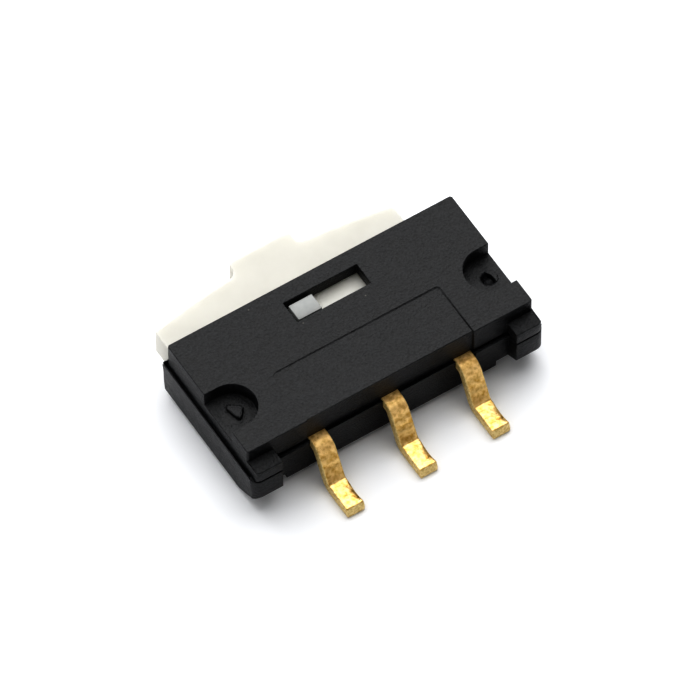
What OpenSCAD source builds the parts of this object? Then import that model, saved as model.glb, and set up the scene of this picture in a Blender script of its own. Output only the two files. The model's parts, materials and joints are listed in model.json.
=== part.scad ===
// Slide switch: single pole, two positions, surface mounted, with its knob on the long side.
//
// The origin is the middle of the case on the board plane. +X runs along the slider's travel,
// +Y points out of the knob's side and +Z up. The three terminals leave at -Y. The slider is
// drawn at its left stop. All sizes are in millimetres.

/* [Case] */
// Length of the case over the base's rim
case_l = 10; // [8.4:0.1:12]
// Width of the case over the base's rim, knob side to terminal side
case_w = 4.6; // [3.9:0.1:5.6]
// Height of the cover above the parting plane
cover_h = 1; // [0.85:0.05:1.2]
// Height of the base from its under edge to the parting plane
base_h = 1.3; // [1.1:0.05:1.6]
// Height of the base's under edge above the board
stand_off = 0.2; // [0.15:0.05:0.3]
// How far the cover stands back behind the base's rim
rim_step = 0.11; // [0.08:0.01:0.14]
// Height of the groove along the cover's foot
groove_h = 0.05; // [0.03:0.01:0.1]
// Depth of the groove
groove_d = 0.06; // [0.03:0.01:0.09]
// Width of the gutter in the base's rim, in front of the cover's foot
gutter_w = 0.08; // [0.05:0.01:0.12]
// Depth of the gutter
gutter_d = 0.14; // [0.06:0.02:0.2]
// Flat lip of the rim outside the gutter
gutter_lip = 0.04; // [0.03:0.01:0.05]
// How far each side of the cover leans in from foot to top
cover_lean = 0.01; // [0:0.01:0.05]
// How far each side of the base leans in from rim to under edge
base_lean = 0.05; // [0.02:0.01:0.08]
// Radius of the case's upright corners
corner_r = 0.12; // [0.08:0.01:0.13]

/* [Front of the case] */
// Length of the plain panel between the lugs
panel_l = 5.7; // [4:0.1:7]
// Depth of the panel on the top face, from the front edge
panel_w = 1.9; // [1.2:0.1:2.2]
// How far the panel is sunk into the top face
panel_sink = 0.04; // [0.02:0.01:0.06]
// How far the panel is set back in the front face
panel_set_back = 0.06; // [0.03:0.01:0.09]
// Width of a front corner lug
lug_w = 1; // [0.7:0.05:1.2]
// How far a lug stands out from the base's rim
lug_reach = 0.4; // [0.2:0.02:0.5]
// Drop from the top face to a lug's top
lug_drop = 0.5; // [0.35:0.05:0.7]
// Radius of a lug's outer corner
lug_r = 0.3; // [0.2:0.02:0.36]
// Height of a lug's lower front edge above the base's under edge
lug_lift = 0.5; // [0.3:0.05:0.8]
// How far the slope under a lug runs back behind the base's rim
relief_w = 0.48; // [0.2:0.02:0.6]
// Length of the slope under a lug, from the end of the case
relief_l = 1.4; // [1.2:0.05:1.6]

/* [End pockets and posts] */
// Distance of a post's axis from the end of the case
post_in = 0.6; // [0.5:0.05:0.8]
// Place of the posts along Y
post_y = -0.58; // [-0.8:0.02:0.2]
// Diameter of a post in the cover
post_d = 0.46; // [0.36:0.02:0.56]
// Diameter of a post's formed head
post_head_d = 0.52; // [0.5:0.02:0.68]
// Height of a post's head above the pocket floor
post_rise = 0.05; // [0.05:0.05:0.3]
// Radius of an end pocket round its post
pocket_r = 0.75; // [0.6:0.05:0.9]
// Depth of an end pocket below the top face
pocket_d = 0.5; // [0.35:0.05:0.6]
// Wall between an end pocket and the slider's cavity
pocket_wall = 0.45; // [0.3:0.05:0.6]
// Depth of the slider's cavity from the back of the case
cavity_w = 3.12; // [3.06:0.02:3.2]

/* [Slider] */
// Travel of the slider between its two positions
travel = 1.5; // [1.2:0.1:1.8]
// Thickness of the slider's wings and knob
slider_t = 1; // [0.8:0.05:1.2]
// Depth of the slider's thick block inside the case
block_w = 1.55; // [1.45:0.05:1.6]
// Thickness of the slider's tongue over the contacts
tongue_t = 0.25; // [0.2:0.01:0.3]
// How far the wings stand out from the case at their middle
wing_reach = 1.2; // [1:0.05:1.5]
// Radius of the wings' bowed edge
wing_r = 20; // [16:1:40]
// How far the wings reach past the slot's end at each stop
wing_lap = 0.14; // [0.12:0.01:0.2]
// Width of the knob
knob_w = 2.1; // [1.6:0.1:2.6]
// How far the knob stands out from the case
knob_reach = 1.67; // [1.5:0.01:2.5]
// How far the knob and wings sit to the right of the slider's middle
knob_shift = 0.1; // [0:0.02:0.1]
// Radius where the knob runs into the wings
knob_fillet = 0.25; // [0.1:0.05:0.4]
// Radius of the knob's corners
knob_corner_r = 0.15; // [0.05:0.05:0.25]
// Length of the marker that shows in the window
marker_l = 0.8; // [0.5:0.05:1.1]
// Width of the marker
marker_w = 0.58; // [0.4:0.02:0.64]
// Drop from the top face to the marker's top
marker_drop = 0.12; // [0.06:0.02:0.2]

/* [Window] */
// Width of the window
window_w = 0.76; // [0.7:0.02:0.9]
// Distance of the window from the back of the case
window_in = 0.68; // [0.55:0.05:0.8]
// Gap between the marker and each end of the window at its stop
window_gap = 0.11; // [0.05:0.01:0.2]
// Chamfer along the window's back edge
window_chamfer = 0.07; // [0.04:0.01:0.1]

/* [Click] */
// Radius of the click nub on the slider's spring bridge
nub_r = 0.15; // [0.1:0.01:0.16]
// Radius of the two notches that the nub drops into
notch_r = 0.22; // [0.18:0.01:0.28]
// Length of the spring bridge
bridge_l = 2; // [1.6:0.1:2.4]
// Thickness of the spring bridge
bridge_t = 0.2; // [0.14:0.01:0.22]
// Width of the slot that frees the bridge
bridge_slot = 0.2; // [0.16:0.02:0.24]

/* [Contacts] */
// Spacing of the terminals
pitch = 2.5; // [2.1:0.1:3]
// Thickness of the terminal strip
strip_t = 0.35; // [0.29:0.01:0.42]
// Width of a terminal's lead
lead_w = 0.6; // [0.46:0.02:0.64]
// Straight length of a lead outside the case
lead_out = 0.08; // [0.04:0.02:0.3]
// Angle that a lead bends down by
lead_angle = 62; // [56:1:80]
// Radius of a lead's bends at mid thickness
lead_bend_r = 0.3; // [0.25:0.01:0.4]
// Flat length of a lead's foot
foot_l = 0.98; // [0.6:0.02:1.2]
// Length of the slope sheared on a foot's toe
toe_slope = 0.08; // [0.05:0.01:0.2]
// Width of the contact pads, front to back
pad_w = 1; // [0.9:0.05:1.1]
// Distance of the contacts' middle from the back of the case
contact_in = 2.15; // [2.15:0.01:2.2]
// Distance between the moving contact's two touching lines
contact_span = 2.6; // [2.2:0.1:3]
// Length of pad beyond each place where the contact rests
pad_margin = 0.35; // [0.25:0.05:0.4]
// Thickness of the moving contact's spring sheet
spring_t = 0.1; // [0.08:0.01:0.1]
// Width of the moving contact
spring_w = 0.76; // [0.64:0.04:0.84]
// Slot between the moving contact's twin fingers
finger_slot = 0.12; // [0.08:0.02:0.16]
// How far the moving contact's fingers reach down
finger_drop = 0.13; // [0.12:0.01:0.16]
// Slope of the moving contact's fingers
finger_angle = 18; // [14:1:20]

/* [Clearances] */
// Running gap round the slider
slide_gap = 0.05; // [0.03:0.01:0.06]
// Gap left under the contact and the click nub
spring_gap = 0.02; // [0.01:0.01:0.03]
// Gap round a post in its hole, on the radius
post_gap = 0.02; // [0.01:0.01:0.04]
// Gap round a post's head in its counterbore, on the radius
head_gap = 0.05; // [0.02:0.01:0.06]

/* [Hidden] */
$fn = 64;
eps = 0.01;
far = 20;
bend_steps = 8;

// Heights above the board
parting_z = stand_off + base_h;
top_z = parting_z + cover_h;
pocket_z = top_z - pocket_d;
strip_z = parting_z - strip_t;
tongue_z = parting_z + spring_gap + finger_drop + spring_t;
slider_top = tongue_z + tongue_t;
ceiling_z = slider_top + slide_gap;
slider_z = slider_top - slider_t;
channel_z = slider_z - slide_gap;

// Places along the case
post_x = case_l / 2 - post_in;
cavity_l = 2 * (post_x - pocket_r - pocket_wall);
block_l = cavity_l - travel - 2 * slide_gap;
window_l = marker_l + travel + 2 * window_gap;
wing_l = cavity_l + travel + 2 * wing_lap;

// Places across the case, counted in from its back
back_y = case_w / 2;
window_y = back_y - window_in - window_w;
marker_y = window_y + (window_w - marker_w) / 2;
wing_y = back_y + slide_gap;
wing_apex = back_y + wing_reach;
step_y = back_y - block_w;
deck_back_y = step_y - slide_gap;
contact_y = back_y - contact_in;
cavity_y = back_y - cavity_w;
tongue_y = cavity_y + spring_gap + nub_r;

// The front faces
cover_front_y = -(back_y - rim_step - cover_lean - panel_set_back);
base_front_y = -(back_y - panel_set_back);
lug_depth = 1;
lug_x = case_l / 2 - lug_w / 2;
lug_front_y = -(back_y + lug_reach);
lug_y = lug_front_y + lug_depth / 2;

// The posts: where the head sits, and the punch mark in it
head_sink = 0.25;
head_z = pocket_z - head_sink;
punch_d = 0.3;
punch_tip_d = 0.1;
punch_depth = 0.1;

// The underside: the seat, and the holes left by the pins that held the terminals
plateau_in_x = 1.2;
plateau_in_y = 0.7;
plateau_l = case_l - 2 * plateau_in_x;
plateau_w = case_w - 2 * plateau_in_y;
plateau_r = 0.3;
pin_hole_d = 0.4;
pin_hole_in = 0.25;
pin_hole_y = cavity_y - pin_hole_in;

// The terminals
lead_run = (strip_z - 2 * lead_bend_r * (1 - cos(lead_angle))) / sin(lead_angle);
toe_out = lead_out - base_front_y + 2 * lead_bend_r * sin(lead_angle) + lead_run * cos(lead_angle) + foot_l;
common_pad_l = contact_span - travel + 2 * pad_margin;
end_pad_in = (contact_span + travel) / 2 - pad_margin;
pad_lip = 0.05;
end_pad_out = max(pitch, end_pad_in) + lead_w / 2 + pad_lip;
ear_w = 0.16;
ear_y = (base_front_y + cavity_y) / 2;

// The moving contact and the pegs that it hangs on
spring_bend_r = 0.2;
tail_angle = 30;
tail_l = 0.12;
peg_d = 0.2;
peg_gap = 0.02;
peg_tip = 0.04;
peg_x = 0.35;

function heading(a) = [cos(a), sin(a)];
function leftward(a) = [-sin(a), cos(a)];

// One side of a bent strip. Each bend is [straight run, turn in degrees, radius]; offset is how
// far the side lies to the left of the strip's middle.
function strip_side(p, a, bends, offset, i = 0) =
    i == len(bends) ? [] :
    let (
        turn = bends[i][1],
        start = p + bends[i][0] * heading(a),
        arm = sign(turn) * bends[i][2],
        centre = start + arm * leftward(a),
        arc = turn == 0 ? [start + offset * leftward(a)] :
            [for (k = [0 : bend_steps]) centre + (offset - arm) * leftward(a + turn * k / bend_steps)]
    )
    concat(arc, strip_side(centre - arm * leftward(a + turn), a + turn, bends, offset, i + 1));

function reversed(list) = [for (i = [len(list) - 1 : -1 : 0]) list[i]];

// A bent strip of sheet as an outline, from point p along direction a
function bent_strip(p, a, bends, t) = concat(
    [p + t / 2 * leftward(a)], strip_side(p, a, bends, t / 2),
    reversed(concat([p - t / 2 * leftward(a)], strip_side(p, a, bends, -t / 2))));

// Height of the wings' bowed edge at a distance from their middle
function bow_y(x) = wing_apex - wing_r + sqrt(wing_r * wing_r - x * x);

module rounded_rect(l, w, r) {
    square([l - 2 * r, w], center = true);
    square([l, w - 2 * r], center = true);
    for (x = [-1, 1], y = [-1, 1]) {
        translate([x * (l / 2 - r), y * (w / 2 - r)]) circle(r);
    }
}

// A profile that stands on z = 0 and leans in on both sides towards the top
module leaning_profile(w, h, lean) {
    polygon([[-w / 2, 0], [w / 2, 0], [w / 2 - lean, h], [lean - w / 2, h]]);
}

// One half of the case as a block that stands on z = 0, with the front lugs up to their height
module leaning_block(l, w, h, lean, lug_h) {
    intersection() {
        rotate([90, 0, 0]) linear_extrude(far, center = true) leaning_profile(l, h, lean);
        union() {
            intersection() {
                rotate([90, 0, 90]) linear_extrude(far, center = true) leaning_profile(w, h, lean);
                linear_extrude(h) rounded_rect(l, w, corner_r);
            }
            linear_extrude(lug_h) lugs(0);
        }
    }
}

// The outlines of the two front corner lugs, drawn in by an inset: only their outer corners are round
module lugs(inset) {
    l = lug_w - 2 * inset;
    w = lug_depth - 2 * inset;
    for (side = [0, 1]) {
        mirror([side, 0]) translate([lug_x, lug_y]) {
            rounded_rect(l, w, lug_r - inset);
            translate([-l / 2, -w / 2]) square([l / 2, w]);
        }
    }
}

// What the slope under the lugs takes from the base's front corners
module lug_reliefs() {
    relief_y = relief_w - back_y;
    for (side = [-1, 1]) {
        translate([side * case_l / 2, 0, 0]) rotate([90, 0, 90]) linear_extrude(2 * relief_l, center = true)
            polygon([
                [relief_y, stand_off - eps],
                [relief_y, stand_off],
                [lug_front_y, stand_off + lug_lift],
                [lug_front_y - lug_reach, stand_off + lug_lift],
                [lug_front_y - lug_reach, stand_off - eps]]);
    }
}

// A V-shaped gutter along X: its lip is at y = 0, and it drops inwards to its upright side
module gutter(l) {
    rotate([90, 0, 90]) linear_extrude(l, center = true)
        polygon([[0, 0], [gutter_w, -gutter_d], [gutter_w, eps], [0, eps]]);
}

// The gutters in the base's rim: behind, at both ends as far as the lugs' corners, and between the lugs.
// Those that meet in a rounded corner stop short of it, so that the lip runs on round it.
module rim_gutters() {
    from_y = lug_front_y + lug_r;
    short = 2 * gutter_lip;
    to_y = back_y - short;
    translate([0, 0, parting_z]) {
        translate([0, base_front_y + gutter_lip, 0]) gutter(case_l - 2 * lug_w);
        for (side = [0, 1]) {
            mirror([side, 0, 0]) translate([case_l / 2 - gutter_lip, (from_y + to_y) / 2, 0])
                rotate(90) gutter(to_y - from_y);
        }
        translate([0, back_y - gutter_lip, 0]) rotate(180) gutter(case_l - 2 * short);
    }
}

// The groove round the foot of the cover, lugs included
module foot_groove() {
    groove_l = case_l - 2 * (rim_step + groove_d);
    groove_w = case_w - 2 * (rim_step + groove_d);
    translate([0, 0, parting_z - eps]) linear_extrude(groove_h + eps) difference() {
        square(far, center = true);
        rounded_rect(groove_l, groove_w, corner_r);
        lugs(rim_step + groove_d);
    }
}

// The plain panel's room in front of a front face
module panel_face(front_y, from_z, to_z) {
    translate([-panel_l / 2, front_y - far, from_z]) cube([panel_l, far, to_z - from_z]);
}

// The cavity that the slider runs in, open at the back of the case
module slider_cavity(from_z, to_z, from_y) {
    translate([-cavity_l / 2, from_y, from_z]) cube([cavity_l, far, to_z - from_z]);
}

module end_pocket() {
    translate([post_x, post_y, pocket_z]) linear_extrude(far) {
        circle(pocket_r);
        translate([0, -pocket_r]) square([far, 2 * pocket_r]);
    }
}

module cover() {
    color("#2e2e31") difference() {
        translate([0, 0, parting_z]) leaning_block(
            case_l - 2 * rim_step, case_w - 2 * rim_step, cover_h, cover_lean, cover_h - lug_drop);
        foot_groove();
        panel_face(cover_front_y, parting_z - eps, top_z + eps);
        translate([0, panel_w / 2 - back_y + rim_step + cover_lean - far / 2, top_z - panel_sink])
            linear_extrude(far) rounded_rect(panel_l, panel_w + far, corner_r);
        slider_cavity(parting_z - eps, ceiling_z, cavity_y);
        for (side = [-1, 1]) {
            translate([side * travel / 2, cavity_y + notch_r / 2, parting_z - eps])
                cylinder(r = notch_r, h = ceiling_z - parting_z + eps);
        }
        translate([-window_l / 2, window_y, ceiling_z - eps]) cube([window_l, window_w, far]);
        translate([-window_l / 2, window_y + window_w, top_z]) rotate([45, 0, 0])
            cube([window_l, window_chamfer * sqrt(2), window_chamfer * sqrt(2)]);
        for (side = [0, 1]) {
            mirror([side, 0, 0]) {
                end_pocket();
                translate([post_x, post_y, head_z]) cylinder(d = post_head_d + 2 * head_gap, h = far);
                translate([post_x, post_y, parting_z - eps]) cylinder(d = post_d + 2 * post_gap, h = far);
            }
        }
    }
}

// A post with the head that was formed over the cover, and its punch mark
module post() {
    head_top = pocket_z + post_rise;
    difference() {
        union() {
            translate([0, 0, parting_z - eps]) cylinder(d = post_d, h = head_z - parting_z + 2 * eps);
            translate([0, 0, head_z]) cylinder(d = post_head_d, h = head_top - head_z);
        }
        translate([0, 0, head_top - punch_depth])
            cylinder(d1 = punch_tip_d, d2 = punch_d, h = punch_depth + eps);
    }
}

module base() {
    color("#29292c") difference() {
        union() {
            difference() {
                translate([0, 0, parting_z]) mirror([0, 0, 1])
                    leaning_block(case_l, case_w, base_h, base_lean, base_h);
                lug_reliefs();
            }
            linear_extrude(stand_off + eps) rounded_rect(plateau_l, plateau_w, plateau_r);
            for (side = [-1, 1]) {
                translate([side * post_x, post_y, 0]) post();
            }
        }
        panel_face(base_front_y, -eps, parting_z + eps);
        rim_gutters();
        slider_cavity(channel_z, parting_z + eps, deck_back_y);
        end_terminal(-1);
        end_terminal(1);
        common_terminal();
        for (x = [-pitch, 0, pitch]) {
            translate([x, pin_hole_y, -eps]) cylinder(d = pin_hole_d, h = strip_z + 2 * eps);
        }
    }
}

// The outline of the wings and the knob, seen from above
module knob_outline() {
    intersection() {
        translate([0, wing_apex - wing_r]) circle(wing_r, $fn = 360);
        translate([-wing_l / 2, wing_y]) square([wing_l, wing_reach]);
    }
    translate([0, (back_y + knob_reach + wing_y) / 2])
        rounded_rect(knob_w, back_y + knob_reach - wing_y, knob_corner_r);
    for (side = [0, 1]) {
        mirror([side, 0]) knob_root();
    }
}

// The fillet where one side of the knob runs into the wing
module knob_root() {
    foot_y = bow_y(knob_w / 2 + knob_fillet);
    difference() {
        translate([knob_w / 2 - eps, foot_y - knob_fillet]) square([knob_fillet + eps, 2 * knob_fillet]);
        translate([knob_w / 2 + knob_fillet, foot_y + knob_fillet]) circle(knob_fillet);
    }
}

// The tongue over the contacts: a slot behind its front edge leaves a bridge that can spring
module tongue() {
    difference() {
        translate([-block_l / 2, tongue_y, tongue_z]) cube([block_l, step_y - tongue_y + eps, tongue_t]);
        translate([0, tongue_y + bridge_t + bridge_slot / 2, tongue_z - eps])
            linear_extrude(tongue_t + 2 * eps) rounded_rect(bridge_l, bridge_slot, bridge_slot / 2 - eps);
    }
    translate([0, tongue_y, tongue_z]) cylinder(r = nub_r, h = tongue_t);
    for (side = [-1, 1]) {
        translate([side * peg_x, contact_y, tongue_z - spring_t - peg_tip])
            cylinder(d = peg_d, h = spring_t + peg_tip + eps);
    }
}

module slider() {
    color("ivory") translate([-travel / 2, 0, 0]) {
        tongue();
        translate([-block_l / 2, step_y, slider_z]) cube([block_l, wing_y - step_y + eps, slider_t]);
        translate([-marker_l / 2, marker_y, slider_top - eps])
            cube([marker_l, marker_w, top_z - marker_drop - slider_top + eps]);
        translate([knob_shift, 0, slider_z]) linear_extrude(slider_t) knob_outline();
    }
}

// One half of the spring: flat under the tongue, down to the pad, and up again at its tail
module spring_half() {
    slope = (finger_drop - 2 * spring_bend_r * (1 - cos(finger_angle))) / sin(finger_angle);
    flat = contact_span / 2 - 2 * spring_bend_r * sin(finger_angle) - slope * cos(finger_angle);
    bends = [
        [flat, -finger_angle, spring_bend_r],
        [slope, finger_angle + tail_angle, spring_bend_r],
        [tail_l, 0, 0]];
    difference() {
        rotate([90, 0, 0]) linear_extrude(spring_w, center = true)
            polygon(bent_strip([0, tongue_z - spring_t / 2], 0, bends, spring_t));
        translate([flat, -finger_slot / 2, 0]) cube([far, finger_slot, far]);
    }
}

module moving_contact() {
    color("gold") translate([-travel / 2, contact_y, 0]) difference() {
        union() {
            spring_half();
            mirror([1, 0, 0]) spring_half();
        }
        for (side = [-1, 1]) {
            translate([side * peg_x, 0, 0]) cylinder(d = peg_d + 2 * peg_gap, h = far);
        }
    }
}

// A lead: along the case's inside, out of its front, down and out again to a flat foot
module lead() {
    bends = [
        [lead_out - base_front_y + contact_y, -lead_angle, lead_bend_r],
        [lead_run, lead_angle, lead_bend_r],
        [foot_l, 0, 0]];
    rotate([90, 0, -90]) linear_extrude(lead_w, center = true) difference() {
        polygon(bent_strip([-contact_y, parting_z - strip_t / 2], 0, bends, strip_t));
        translate([toe_out, strip_t / 2])
            polygon([[0, 0], [eps, 0], [eps, strip_t], [-toe_slope, strip_t], [-toe_slope, strip_t / 2]]);
    }
    translate([0, ear_y, strip_z + strip_t / 2])
        cube([lead_w + 2 * ear_w, 2 * ear_w, strip_t], center = true);
}

module end_terminal(side) {
    mirror([side < 0 ? 1 : 0, 0, 0]) {
        translate([pitch, 0, 0]) lead();
        translate([end_pad_in, contact_y - pad_w / 2, strip_z])
            cube([end_pad_out - end_pad_in, pad_w, strip_t]);
    }
}

module common_terminal() {
    lead();
    translate([0, contact_y, strip_z + strip_t / 2]) cube([common_pad_l, pad_w, strip_t], center = true);
}

module terminal_left() {
    color("goldenrod") end_terminal(-1);
}

module terminal_common() {
    color("goldenrod") common_terminal();
}

module terminal_right() {
    color("goldenrod") end_terminal(1);
}

cover();
base();
slider();
moving_contact();
terminal_left();
terminal_common();
terminal_right();
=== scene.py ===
import json
import math

import bmesh
import bpy
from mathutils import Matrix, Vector


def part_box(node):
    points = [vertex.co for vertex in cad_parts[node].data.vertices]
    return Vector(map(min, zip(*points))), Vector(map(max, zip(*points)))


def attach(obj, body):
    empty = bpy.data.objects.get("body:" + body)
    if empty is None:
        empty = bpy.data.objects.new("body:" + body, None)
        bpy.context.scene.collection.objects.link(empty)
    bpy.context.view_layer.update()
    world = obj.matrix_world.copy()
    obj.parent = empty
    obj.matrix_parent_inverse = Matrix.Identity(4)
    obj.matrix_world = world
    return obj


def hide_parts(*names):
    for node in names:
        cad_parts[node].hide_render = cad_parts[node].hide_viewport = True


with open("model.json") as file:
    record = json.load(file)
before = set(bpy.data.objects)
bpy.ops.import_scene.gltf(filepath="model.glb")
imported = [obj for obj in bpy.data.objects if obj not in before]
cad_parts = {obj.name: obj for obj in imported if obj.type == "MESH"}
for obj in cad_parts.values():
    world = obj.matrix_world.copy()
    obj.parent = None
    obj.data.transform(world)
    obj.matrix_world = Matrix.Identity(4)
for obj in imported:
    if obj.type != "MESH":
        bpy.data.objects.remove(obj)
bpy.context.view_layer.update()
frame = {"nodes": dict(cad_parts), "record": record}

# The frame: the imported switch in metres, the middle of its case at the origin, standing on z = 0.
# The slider is at its left stop, and the CAD parts are kept for their boxes.
MM = 0.001
scene = bpy.context.scene

# The camera: a long lens far above the front left corner, so that parallel edges stay parallel.
# It is aimed at the top of the case, a little to the left and to the front of its middle.
VIEW_AZIMUTH = math.radians(-32.55)
VIEW_ELEVATION = math.radians(56.77)
FIELD_WIDTH = 20.23 * MM
CAMERA_DISTANCE = 300 * MM
NEAREST_SEEN = 10 * MM
FARTHEST_SEEN = 2000 * MM
SENSOR_WIDTH = 36
aim = Vector((-0.353, -0.548, 2.073)) * MM
back = Vector((
    math.sin(VIEW_AZIMUTH) * math.cos(VIEW_ELEVATION),
    -math.cos(VIEW_AZIMUTH) * math.cos(VIEW_ELEVATION),
    math.sin(VIEW_ELEVATION)))
camera = bpy.data.objects.new("camera", bpy.data.cameras.new("camera"))
camera.data.sensor_width = SENSOR_WIDTH
camera.data.lens = SENSOR_WIDTH * CAMERA_DISTANCE / FIELD_WIDTH
camera.data.clip_start = NEAREST_SEEN
camera.data.clip_end = FARTHEST_SEEN
camera.location = aim + back * CAMERA_DISTANCE
camera.rotation_euler = back.to_track_quat("Z", "Y").to_euler()
scene.collection.objects.link(camera)
scene.camera = camera
scene.view_settings.view_transform = "Standard"
scene.view_settings.look = "Very High Contrast"

# The light: one big soft light high behind, to the right, in a dim white room. It washes the top
# and the terminals' feet, and leaves the front of the case in its own shadow. A small white card
# in front puts light on the sheared toes of the feet.

# Each light's name, direction from the switch, width in millimetres and radiance.
LIGHTS = [
    ("softbox", Vector((0.23, 0.49, 0.841)), 700, 1.5),
    ("front card", Vector((0.295, -0.829, 0.483)), 250, 0.6),
]
LIGHT_DISTANCE = 500 * MM
ROOM_BACKWARDS = (-0.5, 0.87, 0)
ROOM_FRONT = 0.12
ROOM_BACK = 0.55
for name, direction, width, radiance in LIGHTS:
    light = bpy.data.objects.new(name, bpy.data.lights.new(name, "AREA"))
    light.data.shape = "SQUARE"
    light.data.size = width * MM
    light.data.energy = radiance * math.pi * (width * MM) ** 2
    light.location = direction * LIGHT_DISTANCE
    light.rotation_euler = direction.to_track_quat("Z", "Y").to_euler()
    scene.collection.objects.link(light)


def linear(hex_colour):
    """A linear RGBA colour from an sRGB hex value."""
    parts = [int(hex_colour[i:i + 2], 16) / 255 for i in (1, 3, 5)]
    return [p / 12.92 if p <= 0.04045 else ((p + 0.055) / 1.055) ** 2.4 for p in parts] + [1]


def add(tree, kind, sockets=None, stops=None, **settings):
    """Adds a node: its sockets are set to values or joined to other nodes' outputs.

    A colour ramp's stops are given from its low end to its high end, as position: hex colour.
    """
    node = tree.nodes.new("ShaderNode" + kind)
    for name, value in settings.items():
        setattr(node, name, value)
    for socket, value in (sockets or {}).items():
        if isinstance(value, bpy.types.NodeSocket):
            tree.links.new(value, node.inputs[socket])
        else:
            node.inputs[socket].default_value = value
    for number, (position, hex_colour) in enumerate((stops or {}).items()):
        ramp = node.color_ramp.elements
        stop = ramp[number] if number < len(ramp) else ramp.new(position)
        stop.position = position
        stop.color = linear(hex_colour)
    return node


# The room's walls: their light falls off towards the front.
room = bpy.data.worlds.new("dim white room")
room.use_nodes = True
scene.world = room
walls = room.node_tree
backwards = add(walls, "VectorMath", {0: add(walls, "TexCoord").outputs["Generated"], 1: ROOM_BACKWARDS},
                operation="DOT_PRODUCT")
dimming = add(walls, "MapRange", {"Value": backwards.outputs["Value"], "From Min": -0.8, "From Max": 0.6,
                                  "To Min": ROOM_FRONT, "To Max": ROOM_BACK})
walls.nodes["Background"].inputs["Color"].default_value = linear("#ffffff")
walls.links.new(dimming.outputs["Result"], walls.nodes["Background"].inputs["Strength"])

# The ground: plain white matt card, so wide that its edge isn't seen from above.
# It lies a hair below the switch's feet, so that no face of them lies in it.
CARD_WIDTH = 3000
CARD_DROP = 0.004


def new_material(name):
    """An empty node material and its tree, with only the output left in it."""
    material = bpy.data.materials.new(name)
    material.use_nodes = True
    tree = material.node_tree
    tree.nodes.remove(tree.nodes["Principled BSDF"])
    return material, tree


card_white, tree = new_material("matt white card")
shader = add(tree, "BsdfPrincipled", {"Base Color": linear("#f7f8fa"), "Roughness": 0.9})
tree.links.new(shader.outputs["BSDF"], tree.nodes["Material Output"].inputs["Surface"])
shape = bmesh.new()
bmesh.ops.create_grid(shape, x_segments=1, y_segments=1, size=CARD_WIDTH / 2)
bmesh.ops.translate(shape, vec=(0, 0, -CARD_DROP), verts=shape.verts)
bmesh.ops.scale(shape, vec=(MM, MM, MM), verts=shape.verts)
card = bpy.data.objects.new("card", bpy.data.meshes.new("card"))
shape.to_mesh(card.data)
shape.free()
card.data.materials.append(card_white)
scene.collection.objects.link(card)

# The cover: the upper half of the case, one moulding with the window, the end pockets and the lugs.
# It sits on the base, and its outer edges are broken by the mould's own small radius.
# The front panel sinks deeper towards the right. Its left step isn't rounded, so it hardly shows.
COVER_EDGE_R = 0.025
PANEL_Z = next(m["pos_m"][2] for m in frame["record"]["mounts"] if m["name"] == "pickup_face") / MM
PANEL_END = 2.85
PANEL_TILT = 0.022
PANEL_CORNER_R = 0.15

# Its plastic: a black heat-resistant thermoplastic, moulded in a spark-eroded cavity.
# The eye gets a matt charcoal surface with a fine grain, a little mottled, with rare pale specks.
GRAIN = 0.07
MOTTLE = 0.3
SPECK_SPACING = 0.9
SPECK_R = 0.025
black_plastic, tree = new_material("moulded black thermoplastic")
place = add(tree, "TexCoord").outputs["Object"]
grain = add(tree, "TexNoise", {"Vector": place, "Scale": 1 / (GRAIN * MM), "Detail": 3.0, "Roughness": 0.6})
mottle = add(tree, "TexNoise", {"Vector": place, "Scale": 1 / (MOTTLE * MM), "Detail": 4.0,
                                "Roughness": 0.6})
both = add(tree, "Mix", {"Factor": 0.4, "A": grain.outputs["Fac"], "B": mottle.outputs["Fac"]},
           data_type="FLOAT")
tone = add(tree, "ValToRGB", {"Fac": both.outputs["Result"]}, stops={0.35: "#020203", 0.65: "#292a2c"})
specks = add(tree, "TexVoronoi", {"Vector": place, "Scale": 1 / (SPECK_SPACING * MM)})
speck = add(tree, "Math", {0: specks.outputs["Distance"], 1: SPECK_R / SPECK_SPACING},
            operation="LESS_THAN")
colour = add(tree, "Mix", {"Factor": speck.outputs["Value"], "A": tone.outputs["Color"],
                           "B": linear("#55534e")}, data_type="RGBA")
gloss = add(tree, "MapRange", {"Value": mottle.outputs["Fac"], "From Min": 0.3, "From Max": 0.7,
                               "To Min": 0.36, "To Max": 0.48})
bump = add(tree, "Bump", {"Height": both.outputs["Result"], "Strength": 1.0, "Distance": 0.045 * MM})
shader = add(tree, "BsdfPrincipled", {
    "Base Color": colour.outputs["Result"], "Roughness": gloss.outputs["Result"],
    "Specular IOR Level": 0.43, "Normal": bump.outputs["Normal"]})
tree.links.new(shader.outputs["BSDF"], tree.nodes["Material Output"].inputs["Surface"])

# What counts as a sharp edge, as a flat one and as a crease in the shading. Then, in millimetres,
# what counts as in the same plane, as one doubled vertex and as a sliver.
SHARP_ANGLE = math.radians(28)
FLAT_ANGLE = math.radians(0.2)
CREASE_ANGLE = math.radians(60)
TINY = 0.002
DOUBLED = 0.0005
SLIVER = 0.0001


def millimetre_copy(node):
    """The CAD node's mesh in millimetres, with its doubled vertices merged."""
    shape = bmesh.new()
    shape.from_mesh(frame["nodes"][node].data)
    bmesh.ops.scale(shape, vec=(1 / MM, 1 / MM, 1 / MM), verts=shape.verts)
    bmesh.ops.remove_doubles(shape, verts=shape.verts, dist=DOUBLED)
    return shape


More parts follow.
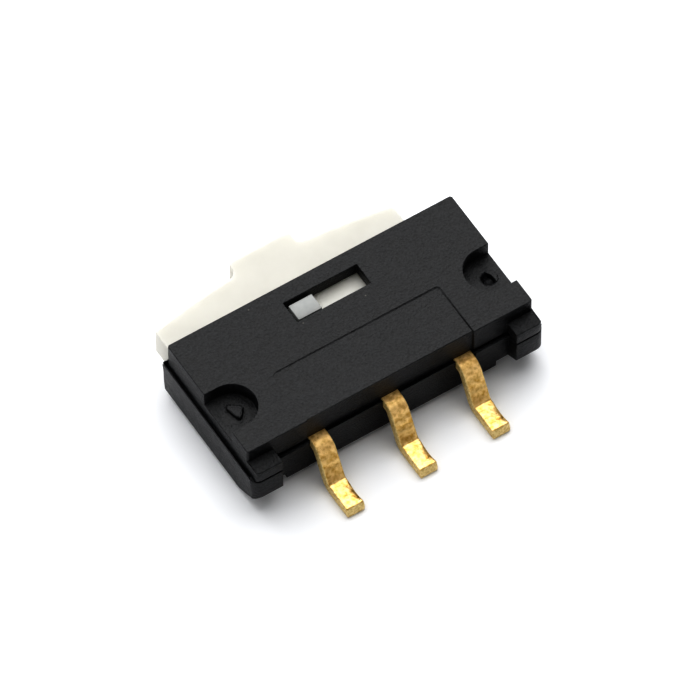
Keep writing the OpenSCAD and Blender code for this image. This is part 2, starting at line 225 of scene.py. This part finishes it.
def rounded(shape, edge_r, segments=2):
    """Rounds a shape's sharp edges, but for marked seams, and keeps it inside the box it had."""
    low, high = ([pick(v.co[i] for v in shape.verts) for i in range(3)] for pick in (min, max))
    edges = [e for e in shape.edges if e.calc_face_angle(0) > SHARP_ANGLE and not e.seam]
    bmesh.ops.bevel(shape, geom=edges, affect="EDGES", offset_type="OFFSET", offset=edge_r,
                    segments=segments, profile=0.5, material=-1, clamp_overlap=False)
    bmesh.ops.dissolve_limit(shape, angle_limit=FLAT_ANGLE, verts=shape.verts, edges=shape.edges)
    for vertex in shape.verts:
        vertex.co = [min(max(c, a), b) for c, a, b in zip(vertex.co, low, high)]
    bmesh.ops.dissolve_degenerate(shape, edges=shape.edges, dist=SLIVER)
    return shape


def finished(shape, name, body, materials, node):
    """Makes a piece of a shape in millimetres, rides it on its body and puts it in the CAD node's place."""
    bmesh.ops.scale(shape, vec=(MM, MM, MM), verts=shape.verts)
    mesh = bpy.data.meshes.new(name)
    shape.to_mesh(mesh)
    shape.free()
    mesh.shade_smooth()
    mesh.set_sharp_from_angle(angle=CREASE_ANGLE)
    piece = bpy.data.objects.new(name, mesh)
    for material in materials:
        mesh.materials.append(material)
    scene.collection.objects.link(piece)
    normals = piece.modifiers.new("flat faces first", "WEIGHTED_NORMAL")
    normals.keep_sharp = True
    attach(piece, body)
    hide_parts(node)


cover = millimetre_copy("cover")
for vertex in cover.verts:
    if abs(vertex.co.z - PANEL_Z) < TINY:
        vertex.co.z += PANEL_TILT * (PANEL_END - vertex.co.x) / (2 * PANEL_END)
for edge in cover.edges:
    edge.seam = all(abs(v.co.x + PANEL_END) < PANEL_CORNER_R + TINY and v.co.z > PANEL_Z - TINY
                    for v in edge.verts)
rounded(cover, COVER_EDGE_R)
finished(cover, "case_cover", "case", [black_plastic], "cover")

# The base: the lower half, moulded round the terminals, in the same plastic.
# Its two posts were melted over the cover by hand: each head is a lump of its own, sunk in its hole.
# The rim's outer lip stands a little above the parting plane, behind and at the ends.
BASE_EDGE_R = 0.015
PARTING_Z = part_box("cover")[0].z / MM
CASE_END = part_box("base")[1].x / MM
CASE_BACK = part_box("base")[1].y / MM
GUTTER_Z = 1.36
RIM = 0.13
LIP = 0.045
LIP_RISE = 0.06
LUG_ARC_Y = -2.4
LUG_ARC_R = 0.3
LEFT_POST = (-4.4, -0.58)
RIGHT_POST = (4.4, -0.58)
POST_CUT = 1.7
TURN_STEPS = 48

# The heads' profiles, as (radius, height) from the foot up, and the outlines of the lumps on them,
# as seen from above with the post in the middle.
BRIM = [(0, 1.69), (0.305, 1.69), (0.305, 1.98), (0.36, 2.0), (0.33, 2.006)]
FLAT_TOP = [(0, 2.006)]
DENT = [(0.24, 2.0), (0.2, 1.95), (0.15, 1.83), (0, 1.83)]
THREE_CORNERED = [(0.1, -0.27), (0.2, -0.24), (0.4, 0.0), (0.36, 0.1), (0.08, 0.34), (-0.02, 0.33),
                  (-0.05, 0.2), (0.02, -0.1)]
STRAND_IN_DENT = [(0.12, -0.24), (0.24, -0.18), (0.3, 0.0), (0.24, 0.17), (0.08, 0.29), (0.0, 0.27),
                  (0.02, 0.19), (0.11, 0.06), (0.12, -0.08)]


def round_head(shape, post, profile):
    """Spins a profile of (radius, height) pairs, from its foot to its middle, round a post's axis."""
    points = [shape.verts.new((post[0] + r, post[1], z)) for r, z in profile]
    edges = [shape.edges.new(pair) for pair in zip(points, points[1:])]
    bmesh.ops.spin(shape, geom=points + edges, cent=(*post, 0), axis=(0, 0, 1), angle=2 * math.pi,
                   steps=TURN_STEPS, use_merge=True)


def melted_lump(shape, post, outline, from_z, to_z, edge_r):
    """Raises an outline on a post's head into a lump, with its upper edges rounded off."""
    foot = shape.faces.new([shape.verts.new((post[0] + x, post[1] + y, from_z)) for x, y in outline])
    grown = bmesh.ops.extrude_face_region(shape, geom=[foot])["geom"]
    top = [g for g in grown if isinstance(g, bmesh.types.BMVert)]
    bmesh.ops.translate(shape, vec=(0, 0, to_z - from_z), verts=top)
    edges = [e for e in shape.edges if any(v in top for v in e.verts)]
    bmesh.ops.bevel(shape, geom=edges, affect="EDGES", offset_type="OFFSET", offset=edge_r,
                    segments=4, profile=0.5, material=-1, clamp_overlap=True)


base = millimetre_copy("base")
for vertex in base.verts:
    x, y, z = vertex.co
    in_gutter = abs(z - GUTTER_Z) < TINY
    at_parting = abs(z - PARTING_Z) < TINY
    on_rim = abs(x) > CASE_END - RIM or y > CASE_BACK - RIM
    on_lip = abs(x) > CASE_END - LIP or y > CASE_BACK - LIP
    if in_gutter:
        vertex.co.z = (PARTING_Z if on_rim else (PARTING_Z + GUTTER_Z) / 2) - TINY
    elif at_parting and on_lip and y > LUG_ARC_Y - TINY:
        vertex.co.z += LIP_RISE
    elif at_parting and y < LUG_ARC_Y and abs(x) > CASE_END - LUG_ARC_R:
        vertex.co.z += LIP_RISE * (1 - (LUG_ARC_Y - y) / LUG_ARC_R)
rounded(base, BASE_EDGE_R)
bmesh.ops.bisect_plane(base, geom=base.verts[:] + base.edges[:] + base.faces[:],
                       plane_co=(0, 0, POST_CUT), plane_no=(0, 0, 1), clear_outer=True)
bmesh.ops.holes_fill(base, edges=[e for e in base.edges if e.is_boundary])
heads = bmesh.new()
round_head(heads, LEFT_POST, BRIM + FLAT_TOP)
melted_lump(heads, LEFT_POST, THREE_CORNERED, from_z=1.95, to_z=2.12, edge_r=0.07)
round_head(heads, RIGHT_POST, BRIM + DENT)
melted_lump(heads, RIGHT_POST, STRAND_IN_DENT, from_z=1.82, to_z=2.03, edge_r=0.035)
bmesh.ops.remove_doubles(heads, verts=heads.verts, dist=DOUBLED)
bmesh.ops.recalc_face_normals(heads, faces=heads.faces)
melted = bpy.data.meshes.new("melted heads")
heads.to_mesh(melted)
heads.free()
base.from_mesh(melted)
bpy.data.meshes.remove(melted)
finished(base, "case_base", "case", [black_plastic], "base")

# The slider: one moulding of ivory acetal, smooth and slightly waxy, that slides in the case's slot.
# Light sinks a little into it, so its shaded sides stay bright. The plate under the cover is painted
# lighter
# than the outer part: painted light in the shaded well of the window.
SLIDER_EDGE_R = 0.02
PAINTED_LIGHT_END_Y = 2.2
PLAIN_TONE_Y = 2.3
CLOUD = 0.8
SKIN = 0.06
ivory, tree = new_material("moulded ivory acetal")
place = add(tree, "TexCoord").outputs["Object"]
cloud = add(tree, "TexNoise", {"Vector": place, "Scale": 1 / (CLOUD * MM), "Detail": 3.0})
tone = add(tree, "ValToRGB", {"Fac": cloud.outputs["Fac"]}, stops={0.35: "#c8c6be", 0.65: "#cccac2"})
outward = add(tree, "MapRange", {"Value": add(tree, "SeparateXYZ", {"Vector": place}).outputs["Y"],
                                 "From Min": PAINTED_LIGHT_END_Y * MM, "From Max": PLAIN_TONE_Y * MM})
# Painted light: the plate under the cover gets the lighter colour, fading outward to the plain tone.
colour = add(tree, "Mix", {"Factor": outward.outputs["Result"], "A": linear("#dddcd5"),
                           "B": tone.outputs["Color"]}, data_type="RGBA")
skin = add(tree, "TexNoise", {"Vector": place, "Scale": 1 / (SKIN * MM), "Detail": 2.0})
bump = add(tree, "Bump", {"Height": skin.outputs["Fac"], "Strength": 0.15, "Distance": 0.004 * MM})
shader = add(tree, "BsdfPrincipled", {
    "Base Color": colour.outputs["Result"], "Roughness": 0.42, "Normal": bump.outputs["Normal"],
    "Subsurface Weight": 0.6, "Subsurface Radius": (0.6, 0.6, 0.57), "Subsurface Scale": 1 * MM})
tree.links.new(shader.outputs["BSDF"], tree.nodes["Material Output"].inputs["Surface"])

# The marker in the window is the same plastic, and duller. Its grey tone is painted shade of the window
# well, darker towards the front.
MARKER_Z = 2.05
MARKER_FRONT_Y = 0.95
MARKER_BACK_Y = 1.75
MARKER_MOTTLE = 0.3
shaded_marker, tree = new_material("ivory acetal with painted shade")
place = add(tree, "TexCoord").outputs["Object"]
marker_mottle = add(tree, "TexNoise", {"Vector": place, "Scale": 1 / (MARKER_MOTTLE * MM), "Detail": 3.0})
# Painted shade: the marker's grey tone stands in for the shade in the window well.
tone = add(tree, "ValToRGB", {"Fac": marker_mottle.outputs["Fac"]}, stops={0.35: "#a2a4a3", 0.65: "#acadab"})
# Painted shade: the tone is scaled darker towards the front and lighter towards the back.
front_shade = add(tree, "MapRange", {"Value": add(tree, "SeparateXYZ", {"Vector": place}).outputs["Y"],
                               "From Min": MARKER_FRONT_Y * MM, "From Max": MARKER_BACK_Y * MM,
                               "To Min": 0.86, "To Max": 1.16})
shade = add(tree, "VectorMath", {0: tone.outputs["Color"], "Scale": front_shade.outputs["Result"]},
            operation="SCALE")
shader = add(tree, "BsdfPrincipled", {"Base Color": shade.outputs["Vector"], "Roughness": 0.7})
tree.links.new(shader.outputs["BSDF"], tree.nodes["Material Output"].inputs["Surface"])
slider = rounded(millimetre_copy("slider"), SLIDER_EDGE_R)
for face in slider.faces:
    face.material_index = 1 if face.calc_center_median().z > MARKER_Z else 0
finished(slider, "slider_moulding", "slider", [ivory, shaded_marker], "slider")

# The terminals: copper alloy strip, stamped, bent and flashed with gold over nickel.
# The rolled faces shine softly and are dimpled by the punch. The upper bend is rubbed rough by the press,
# and its colour is painted paler, a painted highlight. Bands of painted reflection run down the slope below
# it. The press has rolled the right edge of each foot down.
STRIP_T = 0.35
STRIP_EDGE_R = 0.05
TOE_Y = -4.1
STEEP = 0.7
ROLL_W = 0.2
ROLL_DEPTH = 0.09
ROLL_CURVE = 1.6
ROLL_FROM_Y = -3.36
ROLL_TO_Y = -4.13
ROLL_CUTS = 8
ROLL_LINES = (0.6, 1)
DIMPLE = 0.16
gold, tree = new_material("gold flash on rolled strip")
place = add(tree, "TexCoord").outputs["Object"]
dimples = add(tree, "TexNoise", {"Vector": place, "Scale": 1 / (DIMPLE * MM), "Detail": 3.0,
                                 "Roughness": 0.6})
gloss = add(tree, "MapRange", {"Value": dimples.outputs["Fac"], "From Min": 0.3, "From Max": 0.7,
                               "To Min": 0.3, "To Max": 0.45})
tone = add(tree, "ValToRGB", {"Fac": dimples.outputs["Fac"]}, stops={0.35: "#cca65f", 0.6: "#fbdb9f"})

# Heights on the lead are parts of the way from the board up to the parting plane.
# The upper bend, where the strip is rougher and its colour is painted paler, lies between these heights.
BEND_FROM = 0.76
BEND_TO = 0.86
level = add(tree, "MapRange", {"Value": add(tree, "SeparateXYZ", {"Vector": place}).outputs["Z"],
                               "From Min": 0, "From Max": PARTING_Z * MM})
# Painted reflection: lighter and darker bands up the lead, where the real strip's reflections fall.
reflection_bands = add(tree, "ValToRGB", {"Fac": level.outputs["Result"]}, stops={
    0.25: "#f6f6f6", 0.32: "#e2e2e2", 0.45: "#ededed", 0.52: "#dcdcdc",
    0.62: "#f8f8f8", 0.74: "#e4e4e4", 0.84: "#ffffff", 1.0: "#ffffff"})
banded_gold = add(tree, "Mix", {"Factor": 1.0, "A": tone.outputs["Color"], "B": reflection_bands.outputs["Color"]},
           data_type="RGBA", blend_type="MULTIPLY")
rough_highlit_bend = add(tree, "MapRange", {"Value": level.outputs["Result"], "From Min": BEND_FROM,
                                 "From Max": BEND_TO})
matt = add(tree, "Mix", {"Factor": rough_highlit_bend.outputs["Result"], "A": gloss.outputs["Result"], "B": 0.6},
           data_type="FLOAT")
# Painted highlight: on the upper bend the colour is mixed paler, towards a warm white.
bend_highlight = add(tree, "Mix", {"Factor": 0.13, "A": banded_gold.outputs["Result"], "B": linear("#fff3d2")},
             data_type="RGBA")
pale = add(tree, "Mix", {"Factor": rough_highlit_bend.outputs["Result"], "A": banded_gold.outputs["Result"],
                         "B": bend_highlight.outputs["Result"]}, data_type="RGBA")
bump = add(tree, "Bump", {"Height": dimples.outputs["Fac"], "Strength": 1.0, "Distance": 0.02 * MM})
shader = add(tree, "BsdfPrincipled", {
    "Base Color": pale.outputs["Result"], "Metallic": 1.0, "Roughness": matt.outputs["Result"],
    "Normal": bump.outputs["Normal"]})
tree.links.new(shader.outputs["BSDF"], tree.nodes["Material Output"].inputs["Surface"])

# The sheared edges of the strip: torn by the punch, so they are rough and dull. The tears are drawn
# coarser than real ones, so that they show.
TEAR = 0.08
sheared, tree = new_material("sheared edge of gold flashed strip")
place = add(tree, "TexCoord").outputs["Object"]
tears = add(tree, "TexNoise", {"Vector": place, "Scale": 1 / (TEAR * MM), "Detail": 4.0, "Roughness": 0.7})
tone = add(tree, "ValToRGB", {"Fac": tears.outputs["Fac"]}, stops={0.35: "#c4ab72", 0.65: "#f2deaa"})
bump = add(tree, "Bump", {"Height": tears.outputs["Fac"], "Strength": 0.8, "Distance": 0.01 * MM})
shader = add(tree, "BsdfPrincipled", {
    "Base Color": tone.outputs["Color"], "Metallic": 0.5, "Roughness": 0.55,
    "Normal": bump.outputs["Normal"]})
tree.links.new(shader.outputs["BSDF"], tree.nodes["Material Output"].inputs["Surface"])
for side in ("left", "common", "right"):
    node = "terminal_" + side
    strip = rounded(millimetre_copy(node), STRIP_EDGE_R, segments=3)
    right = max(v.co.x for v in strip.verts if v.co.y < TOE_Y)
    cuts = [((right - ROLL_W * part, 0, 0), (1, 0, 0)) for part in ROLL_LINES]
    cuts += [((0, ROLL_FROM_Y + (ROLL_TO_Y - ROLL_FROM_Y) * cut / ROLL_CUTS, 0), (0, 1, 0))
             for cut in range(ROLL_CUTS + 1)]
    for middle, normal in cuts:
        bmesh.ops.bisect_plane(strip, geom=strip.verts[:] + strip.edges[:] + strip.faces[:],
                               plane_co=middle, plane_no=normal)
    for vertex in strip.verts:
        along = (vertex.co.y - ROLL_FROM_Y) / (ROLL_TO_Y - ROLL_FROM_Y)
        across = (vertex.co.x - right) / ROLL_W + 1
        if 0 < along < 1 and across > 0 and vertex.co.z > STRIP_T / 2:
            vertex.co.z -= ROLL_DEPTH * across ** ROLL_CURVE * math.sin(math.pi * along)
    bmesh.ops.dissolve_limit(strip, angle_limit=FLAT_ANGLE, verts=strip.verts, edges=strip.edges)
    bmesh.ops.dissolve_degenerate(strip, edges=strip.edges, dist=SLIVER)
    for face in strip.faces:
        on_side = abs(face.normal.x) > STEEP
        on_toe = face.normal.y < -STEEP and face.calc_center_median().y < TOE_Y
        face.material_index = 1 if on_side or on_toe else 0
    finished(strip, side + "_terminal_strip", "case", [gold, sheared], node)

# The moving contact: thin spring sheet with twin fingers, gold flashed, hung on the slider's pegs.
# The case hides it. It rides along with the slider, and its fingers run over the terminals' pads.
SPRING_EDGE_R = 0.01
spring = rounded(millimetre_copy("moving_contact"), SPRING_EDGE_R)
finished(spring, "contact_spring", "slider", [gold], "moving_contact")
